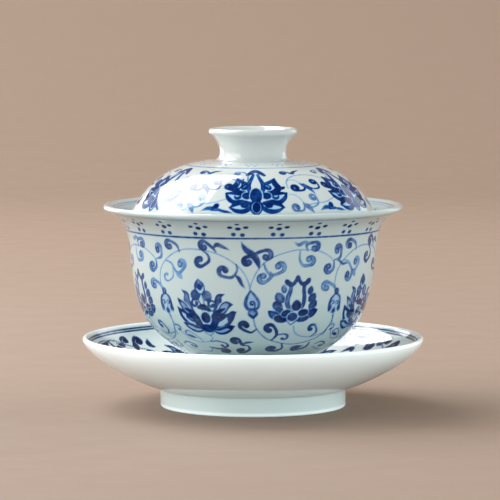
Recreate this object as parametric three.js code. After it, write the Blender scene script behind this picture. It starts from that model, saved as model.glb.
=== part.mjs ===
// Gaiwan: a lidded tea bowl on its saucer, in porcelain.
// Millimetres, +Z up. The origin is the middle of the saucer's foot ring, at the level it stands on.
// Three fired pieces, each one turned body: saucer, bowl and lid. The bowl stands in the saucer's
// well and the lid sits inside the bowl's flared lip.
//
// Every profile is drawn in (radius, height). A HANDLE is the point that a long curve leans towards
// near one of its ends, so it sets the curve's fullness there.

import * as THREE from 'three';

const point = (radius, height) => new THREE.Vector2(radius, height);

// ---------- driving dimensions ----------

const SEGMENTS = 48;          // facets round each turned body
const CURVE_STEPS = 6;        // chords along each long curve of a profile
const ROUND_STEPS = 2;        // chords along each small rounded edge
const SEAT_GAP = 0.3;         // clearance where one piece rests on another

// saucer
const SAUCER_RIM = point(57.0, 22.3);           // where the outside meets the rounded rim
const SAUCER_RIM_SLOPE = point(2.5, 7.0);       // the way the outside runs as it reaches the rim
const SAUCER_RIM_ROUND = 0.9;
const SAUCER_BELLY_HANDLE = point(36.2, 7.4);
const SAUCER_DISH_HANDLE = point(36.5, 9.7);
const SAUCER_DISH_START = point(31.7, 6.45);    // where the outside leaves the foot
const SAUCER_FOOT_RADIUS = 31.1;
const SAUCER_FOOT_WIDTH = 3.3;
const SAUCER_FOOT_ROUND = 0.9;
const SAUCER_FOOT_FILLET = 0.75;
const SAUCER_UNDERSIDE_Z = 5.2;
const WELL_RADIUS = 21.6;
const WELL_EDGE_WIDTH = 1.8;
const WELL_FLOOR_Z = 8.2;
const WELL_EDGE_Z = 9.5;

// bowl
const BOWL_LIP = point(49.35, 66.0);            // where the outside meets the rounded lip
const BOWL_LIP_SLOPE = point(7.25, 2.6);
const BOWL_LIP_ROUND = 0.95;
const BOWL_LIP_INNER_SLOPE = point(8.8, 2.9);
const BOWL_WAIST = point(41.0, 50.0);           // the narrowest upright part of the wall
const BOWL_WAIST_RISE = 8.3;                    // how far the wall stays upright above the waist
const BOWL_FLARE_LEAN = 0.7;
const BOWL_SHOULDER_HANDLE = point(39.1, 30.6);
const BOWL_BELLY_HANDLE = point(34.9, 24.9);
const BOWL_WALL = 2.5;
const BOWL_INNER_SHOULDER_HANDLE = point(36.8, 32.0);
const BOWL_INNER_BELLY_HANDLE = point(31.5, 21.0);
const BOWL_FLOOR = point(10.0, 19.4);           // the edge of the level part of the floor
const BOWL_BODY_START = point(21.3, 17.6);      // where the body leaves the foot ring
const BOWL_FOOT_RADIUS = 20.4;
const BOWL_FOOT_WIDTH = 2.8;
const BOWL_FOOT_ROUND = 0.7;
const BOWL_FOOT_FILLET = 1.2;
const BOWL_RECESS_TOP_Z = 16.0;
const RECESS_FILLET = 1.5;                      // inside both foot rings, under the base

// lid
const LID_EDGE = point(41.34, 64.1);            // where the outside of the dome meets the edge
const LID_EDGE_SLOPE = point(6.9, -13.9);
const LID_EDGE_ROUND = 1.1;
const LID_CROWN_HANDLE = point(24.6, 81.8);
const LID_CROWN_EDGE = point(12.6, 82.65);      // where the dome meets the foot of the knob ring
const LID_INNER_SHOULDER_HANDLE = point(33.2, 76.0);
const LID_INNER_CROWN_HANDLE = point(22.5, 79.7);
const LID_CEILING = point(9.0, 79.9);           // the edge of the level part of the underside

// knob ring on the lid, a shallow cup open at the top
const KNOB_RIM = point(14.4, 91.2);             // where the outside of the neck meets the rim
const KNOB_RIM_SLOPE = point(4.4, 3.3);
const KNOB_RIM_ROUND = 1.1;
const KNOB_BASE_HANDLE = point(10.7, 83.0);
const KNOB_CUP_RADIUS = 8.8;
const KNOB_CUP_FLOOR_Z = 83.6;
const KNOB_CUP_FILLET = 1.5;

// ---------- profile helpers ----------

const plus = (a, b, scale = 1) => a.clone().addScaledVector(b, scale);

// The way square to `heading`, on its left.
const leftOf = (heading) => point(-heading.y, heading.x).normalize();

// A long curve from the path's end to `to`, leaning towards a handle near each end.
function addCurve(path, firstHandle, secondHandle, to) {
  path.bezierCurveTo(firstHandle.x, firstHandle.y, secondHandle.x, secondHandle.y, to.x, to.y);
}

// A small corner fillet from the path's end to `to`, bending at `corner`.
function addFillet(path, corner, to) {
  path.quadraticCurveTo(corner.x, corner.y, to.x, to.y);
}

// A rounded edge: half a circle from the path's end, where the surface arrives in `heading`, which
// turns anticlockwise until it faces the other way. Returns where it ends.
function addRoundedEdge(path, heading, radius) {
  const start = path.currentPoint.clone();
  const centre = plus(start, leftOf(heading), radius);
  const startAngle = Math.atan2(start.y - centre.y, start.x - centre.x);
  path.absarc(centre.x, centre.y, radius, startAngle, startAngle + Math.PI, false);
  return plus(start, leftOf(heading), 2 * radius);
}

// A foot ring: down its inner wall from the base's underside, along its rounded foot and up outside.
function addFootRing(path, undersideZ, bottomZ, outerRadius, width, round) {
  const innerRadius = outerRadius - width;
  path.moveTo(0, undersideZ);
  path.lineTo(innerRadius - RECESS_FILLET, undersideZ);
  addFillet(path, point(innerRadius, undersideZ), point(innerRadius, undersideZ - RECESS_FILLET));
  path.lineTo(innerRadius, bottomZ + round);
  addFillet(path, point(innerRadius, bottomZ), point(innerRadius + round, bottomZ));
  path.lineTo(outerRadius - round, bottomZ);
  addFillet(path, point(outerRadius, bottomZ), point(outerRadius, bottomZ + round));
}

const CHORDS = {
  LineCurve: 1,
  EllipseCurve: 2 * ROUND_STEPS,
  QuadraticBezierCurve: ROUND_STEPS,
  CubicBezierCurve: CURVE_STEPS,
};

// The points of a path, with each curve cut into its own number of chords and no point repeated.
function profilePoints(path) {
  const sameSpot = 1e-4;
  const points = [];
  for (const curve of path.curves) {
    for (const next of curve.getPoints(CHORDS[curve.type])) {
      const last = points[points.length - 1];
      if (!last || last.distanceTo(next) > sameSpot) points.push(next);
    }
  }
  return points;
}

// Turns a profile about the vertical axis.
function turnedBody(name, path, colour) {
  const geometry = new THREE.LatheGeometry(profilePoints(path), SEGMENTS);
  geometry.rotateX(Math.PI / 2);
  const glaze = new THREE.MeshStandardMaterial({ color: colour, roughness: 0.12, metalness: 0 });
  const mesh = new THREE.Mesh(geometry, glaze);
  mesh.name = name;
  return mesh;
}

// ---------- saucer ----------

function makeSaucer() {
  const path = new THREE.Path();
  addFootRing(path, SAUCER_UNDERSIDE_Z, 0, SAUCER_FOOT_RADIUS, SAUCER_FOOT_WIDTH, SAUCER_FOOT_ROUND);
  path.lineTo(SAUCER_FOOT_RADIUS, SAUCER_DISH_START.y - SAUCER_FOOT_FILLET);
  addFillet(path, point(SAUCER_FOOT_RADIUS, SAUCER_DISH_START.y - 0.15), SAUCER_DISH_START);

  // outside of the dish, then over the rim
  addCurve(path, SAUCER_BELLY_HANDLE, plus(SAUCER_RIM, SAUCER_RIM_SLOPE, -1), SAUCER_RIM);
  const rimInside = addRoundedEdge(path, SAUCER_RIM_SLOPE, SAUCER_RIM_ROUND);

  // inside of the dish, down to the well that holds the bowl's foot
  const wellEdge = point(WELL_RADIUS + WELL_EDGE_WIDTH, WELL_EDGE_Z);
  addCurve(path, plus(rimInside, SAUCER_RIM_SLOPE, -1), SAUCER_DISH_HANDLE, wellEdge);
  addFillet(path, point(WELL_RADIUS + 0.6, WELL_EDGE_Z), point(WELL_RADIUS, WELL_FLOOR_Z));
  path.lineTo(0, WELL_FLOOR_Z);
  return turnedBody('saucer', path, 0xe6ebe8);
}

// ---------- bowl ----------

function makeBowl() {
  const path = new THREE.Path();
  const footBottomZ = WELL_FLOOR_Z + SEAT_GAP;
  addFootRing(path, BOWL_RECESS_TOP_Z, footBottomZ, BOWL_FOOT_RADIUS, BOWL_FOOT_WIDTH, BOWL_FOOT_ROUND);
  path.lineTo(BOWL_FOOT_RADIUS, BOWL_BODY_START.y - BOWL_FOOT_FILLET);
  addFillet(path, point(BOWL_FOOT_RADIUS, BOWL_BODY_START.y - 0.4), BOWL_BODY_START);

  // outside: rounded body, waist, then the flare to the lip
  addCurve(path, BOWL_BELLY_HANDLE, BOWL_SHOULDER_HANDLE, BOWL_WAIST);
  const aboveWaist = plus(BOWL_WAIST, point(BOWL_FLARE_LEAN, BOWL_WAIST_RISE));
  addCurve(path, aboveWaist, plus(BOWL_LIP, BOWL_LIP_SLOPE, -1), BOWL_LIP);
  const lipInside = addRoundedEdge(path, BOWL_LIP_SLOPE, BOWL_LIP_ROUND);

  // inside: flare, waist, body and floor
  const inward = point(-BOWL_WALL, 0);
  addCurve(path, plus(lipInside, BOWL_LIP_INNER_SLOPE, -1), plus(aboveWaist, inward), plus(BOWL_WAIST, inward));
  addCurve(path, BOWL_INNER_SHOULDER_HANDLE, BOWL_INNER_BELLY_HANDLE, BOWL_FLOOR);
  path.lineTo(0, BOWL_FLOOR.y);
  return turnedBody('bowl', path, 0xdfe6e6);
}

// ---------- lid ----------

function makeLid() {
  const path = new THREE.Path();

  // underside of the dome, from the middle out to the edge, then over the edge
  const edgeInside = plus(LID_EDGE, leftOf(LID_EDGE_SLOPE), -2 * LID_EDGE_ROUND);
  path.moveTo(0, LID_CEILING.y);
  path.lineTo(LID_CEILING.x, LID_CEILING.y);
  addCurve(path, LID_INNER_CROWN_HANDLE, LID_INNER_SHOULDER_HANDLE, edgeInside);
  addRoundedEdge(path, LID_EDGE_SLOPE, LID_EDGE_ROUND);

  // outside of the dome, then the neck and rim of the knob ring
  addCurve(path, plus(LID_EDGE, LID_EDGE_SLOPE, -1), LID_CROWN_HANDLE, LID_CROWN_EDGE);
  addCurve(path, KNOB_BASE_HANDLE, plus(KNOB_RIM, KNOB_RIM_SLOPE, -1), KNOB_RIM);
  const cupRim = addRoundedEdge(path, KNOB_RIM_SLOPE, KNOB_RIM_ROUND);

  // inside of the cup
  const cupWallTop = point(KNOB_CUP_RADIUS, KNOB_CUP_FLOOR_Z + 5.4);
  const cupWallFoot = point(KNOB_CUP_RADIUS, KNOB_CUP_FLOOR_Z + KNOB_CUP_FILLET);
  addCurve(path, plus(cupRim, KNOB_RIM_SLOPE, -0.8), cupWallTop, cupWallFoot);
  const cupFloorEdge = point(KNOB_CUP_RADIUS - KNOB_CUP_FILLET, KNOB_CUP_FLOOR_Z);
  addFillet(path, point(KNOB_CUP_RADIUS, KNOB_CUP_FLOOR_Z), cupFloorEdge);
  path.lineTo(0, KNOB_CUP_FLOOR_Z);
  return turnedBody('lid', path, 0xdfe6e6);
}

// ---------- assembly ----------

const gaiwan = new THREE.Group();
gaiwan.add(makeSaucer());
gaiwan.add(makeBowl());
gaiwan.add(makeLid());

export default gaiwan;
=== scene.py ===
"""Blue and white porcelain gaiwan: a lidded tea bowl on its saucer.

Each piece is one thrown body, made as a fine turned mesh. The painting is laid on it stroke by stroke, as
a brush would lay it, and is kept in the mesh as the depth and the shade of the cobalt.
Profiles and strokes are in millimetres, and go to metres where a mesh is made. A place on a painted surface
is (angle, down): degrees round from the front, and millimetres along the surface from its upper edge.
"""

import math

import bpy
import numpy as np
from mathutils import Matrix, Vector


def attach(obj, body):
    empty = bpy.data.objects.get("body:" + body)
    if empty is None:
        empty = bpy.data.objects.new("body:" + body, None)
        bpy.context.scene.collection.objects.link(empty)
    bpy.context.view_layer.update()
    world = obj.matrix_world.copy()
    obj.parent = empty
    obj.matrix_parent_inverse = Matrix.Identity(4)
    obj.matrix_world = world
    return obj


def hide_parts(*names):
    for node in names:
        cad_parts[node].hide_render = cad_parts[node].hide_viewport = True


bl_info = {
    "name": "Blue and White Gaiwan",
    "version": (1, 0, 0),
    "blender": (4, 5, 0),
    "location": "View3D > Sidebar > Gaiwan",
    "description": "Makes a lidded porcelain tea bowl on its saucer, with a painted lotus scroll",
    "category": "Add Mesh",
}

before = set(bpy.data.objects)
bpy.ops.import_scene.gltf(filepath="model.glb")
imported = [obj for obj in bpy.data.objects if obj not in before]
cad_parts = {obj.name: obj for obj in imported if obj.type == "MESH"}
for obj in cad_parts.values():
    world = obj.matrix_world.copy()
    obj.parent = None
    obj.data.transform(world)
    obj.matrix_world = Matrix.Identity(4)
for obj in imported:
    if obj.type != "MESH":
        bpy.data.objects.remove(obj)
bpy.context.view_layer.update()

MM = 0.001
SEAT_GAP = 0.3          # between the bowl's foot and the well's floor
SAME_SPOT = 0.001       # two points of a profile this close are one
RECESS_ROUND = 1.5      # inside both foot rings, under the base
# the last layer darkens the glaze where it pools and where shade is painted in: recesses, feet and low on
# the bodies
LAYERS = ("pigment", "shade", "bare", "pool")
COLUMNS, SAUCER_COLUMNS = 780, 700      # points round a turned mesh


# ---------- profile curves, in (radius, height) ----------


def spot_at(radius, height):
    return np.array((radius, height), dtype=float)


def long_curve(start, first_handle, second_handle, end):
    """A curve that leans towards a handle near each of its ends."""
    t = np.linspace(0.0, 1.0, 400)[:, None]
    u = 1.0 - t
    return u**3 * start + 3 * u**2 * t * first_handle + 3 * u * t**2 * second_handle + t**3 * end


def corner_curve(start, corner, end):
    """A small fillet that bends at its corner."""
    t = np.linspace(0.0, 1.0, 40)[:, None]
    u = 1.0 - t
    return u**2 * start + 2 * u * t * corner + t**2 * end


def rounded_edge(start, heading, radius):
    """Half a circle, from where the surface arrives in its heading to where it faces the other way."""
    left = spot_at(-heading[1], heading[0]) / np.hypot(*heading)
    centre = start + left * radius
    first = math.atan2(start[1] - centre[1], start[0] - centre[0])
    turn = first + np.linspace(0.0, math.pi, 80)
    return np.column_stack((centre[0] + radius * np.cos(turn), centre[1] + radius * np.sin(turn)))


def straight(start, end):
    return np.linspace(start, end, 60)


def arc_along(points):
    """How far along a line of points each one lies."""
    return np.concatenate(([0.0], np.cumsum(np.hypot(*np.diff(points, axis=0).T))))


def spaced(points, spacing):
    """The same curve with its points evenly spaced."""
    along = arc_along(points)
    count = max(2, int(math.ceil(along[-1] / spacing)) + 1)
    wanted = np.linspace(0.0, along[-1], count)
    return np.column_stack([np.interp(wanted, along, points[:, k]) for k in (0, 1)])


def foot_ring(underside, bottom, outer, width, edge):
    """The profile from the middle of the underside to the top of the foot's outer edge, in parts."""
    inner = outer - width
    level, upright = spot_at(inner - RECESS_ROUND, underside), spot_at(inner, underside - RECESS_ROUND)
    wall_end, toe = spot_at(inner, bottom + edge), spot_at(inner + edge, bottom)
    heel, top = spot_at(outer - edge, bottom), spot_at(outer, bottom + edge)
    return [
        ("base", straight(level - spot_at(1.0, 0.0), level), 1.0),
        ("cove", corner_curve(level, spot_at(inner, underside), upright), 0.5),
        ("foot", straight(upright, wall_end), 1.0),
        ("foot", corner_curve(wall_end, spot_at(inner, bottom), toe), 0.25),
        ("stand", straight(toe, heel), 0.5),
        ("foot", corner_curve(heel, spot_at(outer, bottom), top), 0.25),
    ]


# ---------- turned bodies ----------


class Turned:
    """A turned body: its rows of points, and what is painted on them."""

    def __init__(self, sections, columns):
        rows, names = [], []
        for name, points, spacing in sections:
            even = spaced(points, spacing)
            first = 0 if not rows or np.hypot(*(rows[-1] - even[0])) > SAME_SPOT else 1
            rows.extend(even[first:])
            names.extend([name] * (len(even) - first))
        self.rows = np.array(rows)
        self.names = np.array(names)
        self.columns = columns
        for key in LAYERS:
            setattr(self, key, np.zeros((len(rows), columns), dtype=np.float32))

    def rows_named(self, *wanted):
        return np.flatnonzero(np.isin(self.names, wanted))

    def mesh_object(self, name, material):
        """One closed body with a pole at each end of the profile."""
        count, columns = len(self.rows), self.columns
        angle = np.radians(np.arange(columns) * 360.0 / columns - 180.0)
        x = self.rows[:, 0][:, None] * np.sin(angle)[None, :]
        y = -self.rows[:, 0][:, None] * np.cos(angle)[None, :]
        z = np.repeat(self.rows[:, 1][:, None], columns, axis=1)
        ring = np.stack((x, y, z), axis=-1).reshape(-1, 3)
        poles = np.array(((0.0, 0.0, self.rows[0][1]), (0.0, 0.0, self.rows[-1][1])))
        vertices = np.vstack((ring, poles)) * MM
        row = np.arange(count - 1)[:, None] * columns
        here = np.arange(columns)[None, :]
        after = (here + 1) % columns
        quads = np.stack((row + here, row + after, row + columns + after, row + columns + here), axis=-1)
        start, last = count * columns, (count - 1) * columns
        begin = [(start, b, a) for a, b in enumerate(after[0].tolist())]
        close = [(start + 1, last + a, last + b) for a, b in enumerate(after[0].tolist())]
        mesh = bpy.data.meshes.new(name)
        mesh.from_pydata(vertices.tolist(), [], quads.reshape(-1, 4).tolist() + begin + close)
        mesh.validate()
        mesh.shade_smooth()
        for key in LAYERS:
            values = getattr(self, key)
            flat = np.concatenate((values.reshape(-1), (values[0].mean(), values[-1].mean())))
            mesh.attributes.new(key, "FLOAT", "POINT").data.foreach_set("value", flat.astype(np.float32))
        mesh.materials.append(material)
        made = bpy.data.objects.new(name, mesh)
        bpy.context.scene.collection.objects.link(made)
        return made


# ---------- brushwork ----------


def smooth_path(knots, step):
    """A smooth line through knots of (across, down, half width), in millimetres."""
    p = np.array(knots, dtype=float)
    if len(p) == 2:
        p = np.array((p[0], (p[0] + p[1]) / 2, p[1]))
    p = np.vstack((2 * p[0] - p[1], p, 2 * p[-1] - p[-2]))
    gap = np.maximum(np.hypot(*np.diff(p[:, :2], axis=0).T), 1e-4) ** 0.5
    out = []
    for k in range(1, len(p) - 2):
        t0, t1 = 0.0, gap[k - 1]
        t2 = t1 + gap[k]
        t3 = t2 + gap[k + 1]
        count = max(2, int(math.ceil(gap[k] ** 2 / step)))
        t = np.linspace(t1, t2, count, endpoint=False)[:, None]
        a1 = (t1 - t) / (t1 - t0) * p[k - 1] + (t - t0) / (t1 - t0) * p[k]
        a2 = (t2 - t) / (t2 - t1) * p[k] + (t - t1) / (t2 - t1) * p[k + 1]
        a3 = (t3 - t) / (t3 - t2) * p[k + 1] + (t - t2) / (t3 - t2) * p[k + 2]
        b1 = (t2 - t) / (t2 - t0) * a1 + (t - t0) / (t2 - t0) * a2
        b2 = (t3 - t) / (t3 - t1) * a2 + (t - t1) / (t3 - t1) * a3
        out.append((t2 - t) / (t2 - t1) * b1 + (t - t1) / (t2 - t1) * b2)
    out.append(p[-2][None, :])
    return np.vstack(out)


class Brush:
    """Paints on one part of a turned body. `turn` carries the drawing round, and `mirror` flips it."""

    SOFT = 0.30     # width of a stroke's soft edge, in millimetres
    STEP = 0.22     # between the points of a path
    RUN = 20        # points of a path laid at a time
    DRIFT = 0.05    # how much the depth changes from stroke to stroke

    def __init__(self, body, names, upside_down, seed):
        rows = body.rows_named(*names)
        points = body.rows[rows]
        if upside_down:
            rows, points = rows[::-1], points[::-1]
        self.body = body
        self.rows = rows
        self.radius = points[:, 0]
        self.down = arc_along(points)
        self.spin = 360.0 / body.columns
        self.dice = np.random.default_rng(seed)
        self.turn = 0.0
        self.axis = 0.0
        self.mirror = 1.0
        self.depth = 1.0
        self.wobble = 0.0

    def at(self, axis=0.0, mirror=False, depth=1.0):
        self.axis = axis
        self.mirror = -1.0 if mirror else 1.0
        self.depth = depth

    def radius_at(self, down):
        return float(np.interp(down, self.down, self.radius))

    def stroke(self, points, width, tone, core=None, hue=0.3):
        """A brush stroke through points of (angle, down). Its width is one number or one for each point."""
        widths = np.broadcast_to(np.asarray(width, dtype=float), (len(points),))
        spots = np.array(points, dtype=float)
        middle = self.radius_at(spots[:, 1].mean())
        scale = math.radians(1.0) * middle
        knots = np.column_stack((spots[:, 0] * scale, spots[:, 1], widths / 2))
        path = smooth_path(knots, self.STEP)
        path[:, 0] = path[:, 0] / scale * self.mirror + self.axis + self.turn
        shift = self.dice.normal(0.0, self.wobble, 2)
        path[:, 0] += shift[0] / scale
        path[:, 1] += shift[1]
        deepen = self.depth * (1.0 + self.dice.normal(0.0, self.DRIFT))
        edge = tone * deepen
        self.lay(path, edge, edge if core is None else core * deepen, hue)

    def window(self, path, reach):
        """The rows and the run of columns that a piece of path can touch."""
        low, high = path[:, 1].min() - reach, path[:, 1].max() + reach
        r0, r1 = np.searchsorted(self.down, (low, high))
        r0, r1 = max(0, r0 - 1), min(len(self.down), r1 + 1)
        if r1 - r0 < 1:
            return None
        spread = math.degrees(reach / max(4.0, self.radius[r0:r1].min()))
        c0 = int(math.floor((path[:, 0].min() - spread + 180.0) / self.spin))
        c1 = int(math.ceil((path[:, 0].max() + spread + 180.0) / self.spin)) + 1
        return r0, r1, c0, c1

    def lay(self, path, edge, core, hue):
        reach = path[:, 2].max() + self.SOFT
        whole = self.window(path, reach)
        if whole is None:
            return
        r0, r1, c0, c1 = whole
        best = np.full((r1 - r0, c1 - c0), -9.0)
        across = np.ones_like(best)
        for k in range(0, max(1, len(path) - 1), self.RUN):
            part = path[k : k + self.RUN + 1]
            inner = self.window(part, part[:, 2].max() + self.SOFT)
            if inner is None:
                continue
            a0, a1, b0, b1 = inner
            down = self.down[a0:a1][:, None, None]
            scale = math.radians(1.0) * self.radius[a0:a1][:, None, None]
            angle = (np.arange(b0, b1) * self.spin - 180.0)[None, :, None]
            far = np.hypot((angle - part[:, 0]) * scale, down - part[:, 1])
            inside = part[:, 2] - far
            pick = inside.argmax(axis=2)
            value = np.take_along_axis(inside, pick[:, :, None], axis=2)[:, :, 0]
            ratio = 1.0 - value / np.maximum(part[:, 2][pick], 0.05)
            block = (slice(a0 - r0, a1 - r0), slice(b0 - c0, b1 - c0))
            better = value > best[block]
            best[block] = np.where(better, value, best[block])
            across[block] = np.where(better, ratio, across[block])
        cover = np.clip(best / self.SOFT + 0.5, 0.0, 1.0)
        colour = core + (edge - core) * np.clip(across, 0.0, 1.0) ** 2
        self.blend_in(r0, r1, c0, c1, cover, colour, hue)

    def blend_in(self, r0, r1, c0, c1, cover, colour, hue):
        columns = np.arange(c0, c1) % self.body.columns
        where = np.ix_(self.rows[r0:r1], columns)
        pigment, shade = self.body.pigment, self.body.shade
        pigment[where] = pigment[where] * (1 - cover) + colour * cover
        shade[where] = shade[where] * (1 - cover) + hue * cover

    def spot(self, at, wide, high, tone, core=None, hue=0.3, tilt=0.0):
        """A dab of the brush: an oval of the given half width and half height, in millimetres."""
        angle = at[0] * self.mirror + self.axis + self.turn
        deepen = self.depth * (1.0 + self.dice.normal(0.0, self.DRIFT))
        middle = np.array(((angle, at[1], max(wide, high)),))
        found = self.window(middle, max(wide, high) + self.SOFT)
        if found is None:
            return
        r0, r1, c0, c1 = found
        scale = math.radians(1.0) * self.radius[r0:r1][:, None]
        dx = (np.arange(c0, c1) * self.spin - 180.0 - angle)[None, :] * scale
        dy = (self.down[r0:r1] - at[1])[:, None] + 0.0 * dx
        lean = math.radians(tilt) * self.mirror
        u = dx * math.cos(lean) + dy * math.sin(lean)
        v = dy * math.cos(lean) - dx * math.sin(lean)
        ratio = np.hypot(u / wide, v / high)
        cover = np.clip((1.0 - ratio) * min(wide, high) / self.SOFT + 0.5, 0.0, 1.0)
        inner = tone if core is None else core
        colour = (inner + (tone - inner) * np.clip(ratio, 0.0, 1.0) ** 2) * deepen
        self.blend_in(r0, r1, c0, c1, cover, colour, hue)

    def ring(self, down, width, tone, hue):
        """A line banded all the way round on the wheel."""
        columns = np.arange(self.body.columns)
        waver = 0.05 * np.sin(np.radians(columns * self.spin * 2.0) + down)
        swell = 1.0 + 0.12 * np.sin(np.radians(columns * self.spin * 5.0) + 2.0 * down)
        far = np.abs(self.down[:, None] - down - waver[None, :])
        cover = np.clip((width / 2 * swell[None, :] - far) / self.SOFT + 0.5, 0.0, 1.0)
        colour = tone * (1.0 + 0.06 * np.sin(np.radians(columns * self.spin * 3.0)))[None, :]
        self.blend_in(0, len(self.down), 0, len(columns), cover, colour + 0.0 * far, hue)

    def vine(self, points, width=0.38, tone=0.56, hue=0.25):
        self.stroke(points, width, tone, hue=hue)

    def leaf(self, points, width, tone, core, hue=0.25, full=0.4):
        """A stroke that starts and ends in a point."""
        along = np.linspace(0.0, 1.0, len(points))
        swell = np.where(along < full, along / full, (1.0 - along) / (1.0 - full))
        self.stroke(points, 0.12 + width * np.sqrt(np.clip(swell, 0.0, 1.0)), tone, core, hue)

    def curl(self, head, tail, way, size, tone, core, hue, thick=1.75, sweep=238.0):
        """A comma scroll: from its tail it winds into its head, anticlockwise if `way` is 1, or -1."""
        scale = math.radians(1.0) * self.radius_at(head[1])
        last = tail[-1]
        dx, dy = (last[0] - head[0]) * scale, -(last[1] - head[1])
        far = max(math.hypot(dx, dy), size * 1.02)
        first = math.atan2(dy, dx) + way * math.acos(min(1.0, size / far))
        points, widths = list(tail), list(np.linspace(0.45, 0.6 * thick, len(tail)))
        for t in np.linspace(0.0, 1.0, 13):
            angle = first + way * math.radians(sweep) * t
            reach = size * (1.0 - 0.54 * t)
            x, y = reach * math.cos(angle), reach * math.sin(angle)
            points.append((head[0] + x / scale, head[1] - y))
            widths.append(thick * (0.62 + 0.38 * math.sin(min(1.0, t * 1.8) * math.pi / 2)))
        edge, inner = tone + 0.1, core + 0.01
        self.stroke(points, widths, edge, inner, hue)
        self.spot(points[-1], 0.62 * thick, 0.62 * thick, edge, inner, hue)


# ---------- the bowl's painting ----------

WHITE = 0       # no cobalt


def paint_dots(brush, groups):
    """The lip's border: clusters of six dabs between a thin line and a thick one."""
    cluster = (
        ((0, 3.5), 0.74, 0.46, 1),
        ((-3.2, 5.3), 0.8, 0.54, 1),
        ((3.5, 5.2), 0.82, 0.54, 1),
        ((0.2, 5.9), 0.92, 0.64, 1.06),
        ((-2, 8.2), 0.82, 0.66, 0.72),
        ((1.9, 8.4), 0.84, 0.66, 0.76),
    )
    for k in range(groups):
        brush.at(-6.5 + 360 * k / groups)
        for at, wide, high, tone in cluster:
            brush.spot(at, wide, high * 1.1, tone, tone * 1.04, 0.15)


def paint_bud(brush):
    """The closed bud between two blossoms, hanging from the vine: a drop over a bead."""
    brush.at(0)
    outline = [(-1.2, 26.8), (-3, 29.3), (-3.7, 31.6), (-2.2, 33.4), (0.2, 33.6), (2.4, 32.6), (2.6, 30.6)]
    outline += [(0.9, 28.6), (-1.2, 26.8)]
    brush.leaf([(-1.2, 26.6), (-1, 29.5), (-0.6, 31.5), (-0.4, 33.9)], 4.4, WHITE, WHITE, 0.5, 0.66)
    brush.leaf([(-1.2, 26.9), (-1, 29.5), (-0.6, 31.5), (-0.4, 33.4)], 3.6, 0.34, 0.26, 0.5, 0.66)
    brush.stroke(outline, [0.4, 1, 1.2, 1, 0.8, 0.9, 1, 0.8, 0.4], 0.78, 0.62, 0.4)
    brush.curl((-0.4, 31.3), [(-2.6, 33), (0.6, 33.1)], 1, 0.85, 0.8, 0.7, 0.4, 0.55, 290)
    brush.spot((-0.1, 34.8), 1.75, 1.5, 0.9, 0.55, 0.6)
    brush.stroke([(-1.8, 35.2), (0, 36.3), (1.7, 35.1)], [0.5, 0.9, 0.5], 0.95, hue=0.4)


def paint_side_bud(brush, axis):
    """The opening bud at the end of a vine, with three pointed lips."""
    brush.at(axis)
    brush.leaf([(0, 29.4), (-0.2, 31.5), (-0.1, 33.8), (0, 35.6)], 4.8, 0.3, 0.16, 0.35, 0.55)
    brush.stroke(
        [(-0.2, 28.8), (-2.8, 30.4), (-3.7, 32.8), (-3.3, 34.8)],
        [0.5, 0.8, 0.9, 0.5], 0.8, 0.66, 0.3,
    )
    brush.stroke([(0.3, 28.8), (2.6, 30.1), (3.4, 32.6), (3.6, 35)], [0.5, 0.8, 0.9, 0.5], 0.82, 0.68, 0.3)
    brush.curl((-1.5, 32), [(-2.9, 35), (-3, 33.2)], -1, 0.8, 0.66, 0.6, 0.3, 0.5, 250)
    brush.curl((1.5, 32.1), [(0.2, 35), (0.6, 33.4)], -1, 0.8, 0.66, 0.6, 0.3, 0.5, 250)
    for x, s in ((-3.7, 34.9), (0.1, 35.8), (3.9, 35)):
        brush.leaf([(x * 0.72, s - 2.2), (x * 0.86, s - 1), (x, s)], 1.5, 0.86, 0.7, 0.45, 0.55)
    brush.spot((0, 28.2), 1, 1.2, 0.76, 0.5, 0.35)


def petal(brush, points, width, outline, fill, hue, full, edge):
    """A petal from its root to its tip: a dark outline with a paler wash inside it, and a dark tip."""
    brush.leaf(points, width + 0.5, WHITE, WHITE, hue, full)
    brush.leaf(points, width, outline, outline, hue, full)
    path = np.array(points, dtype=float)
    inner = path.copy()
    inner[-1] = path[-2] + (path[-1] - path[-2]) * 0.45
    inner[0] = path[0] + (path[1] - path[0]) * 0.15
    brush.leaf([tuple(q) for q in inner], max(0.3, width - 2 * edge), fill, fill * 0.92, hue, full)


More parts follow.
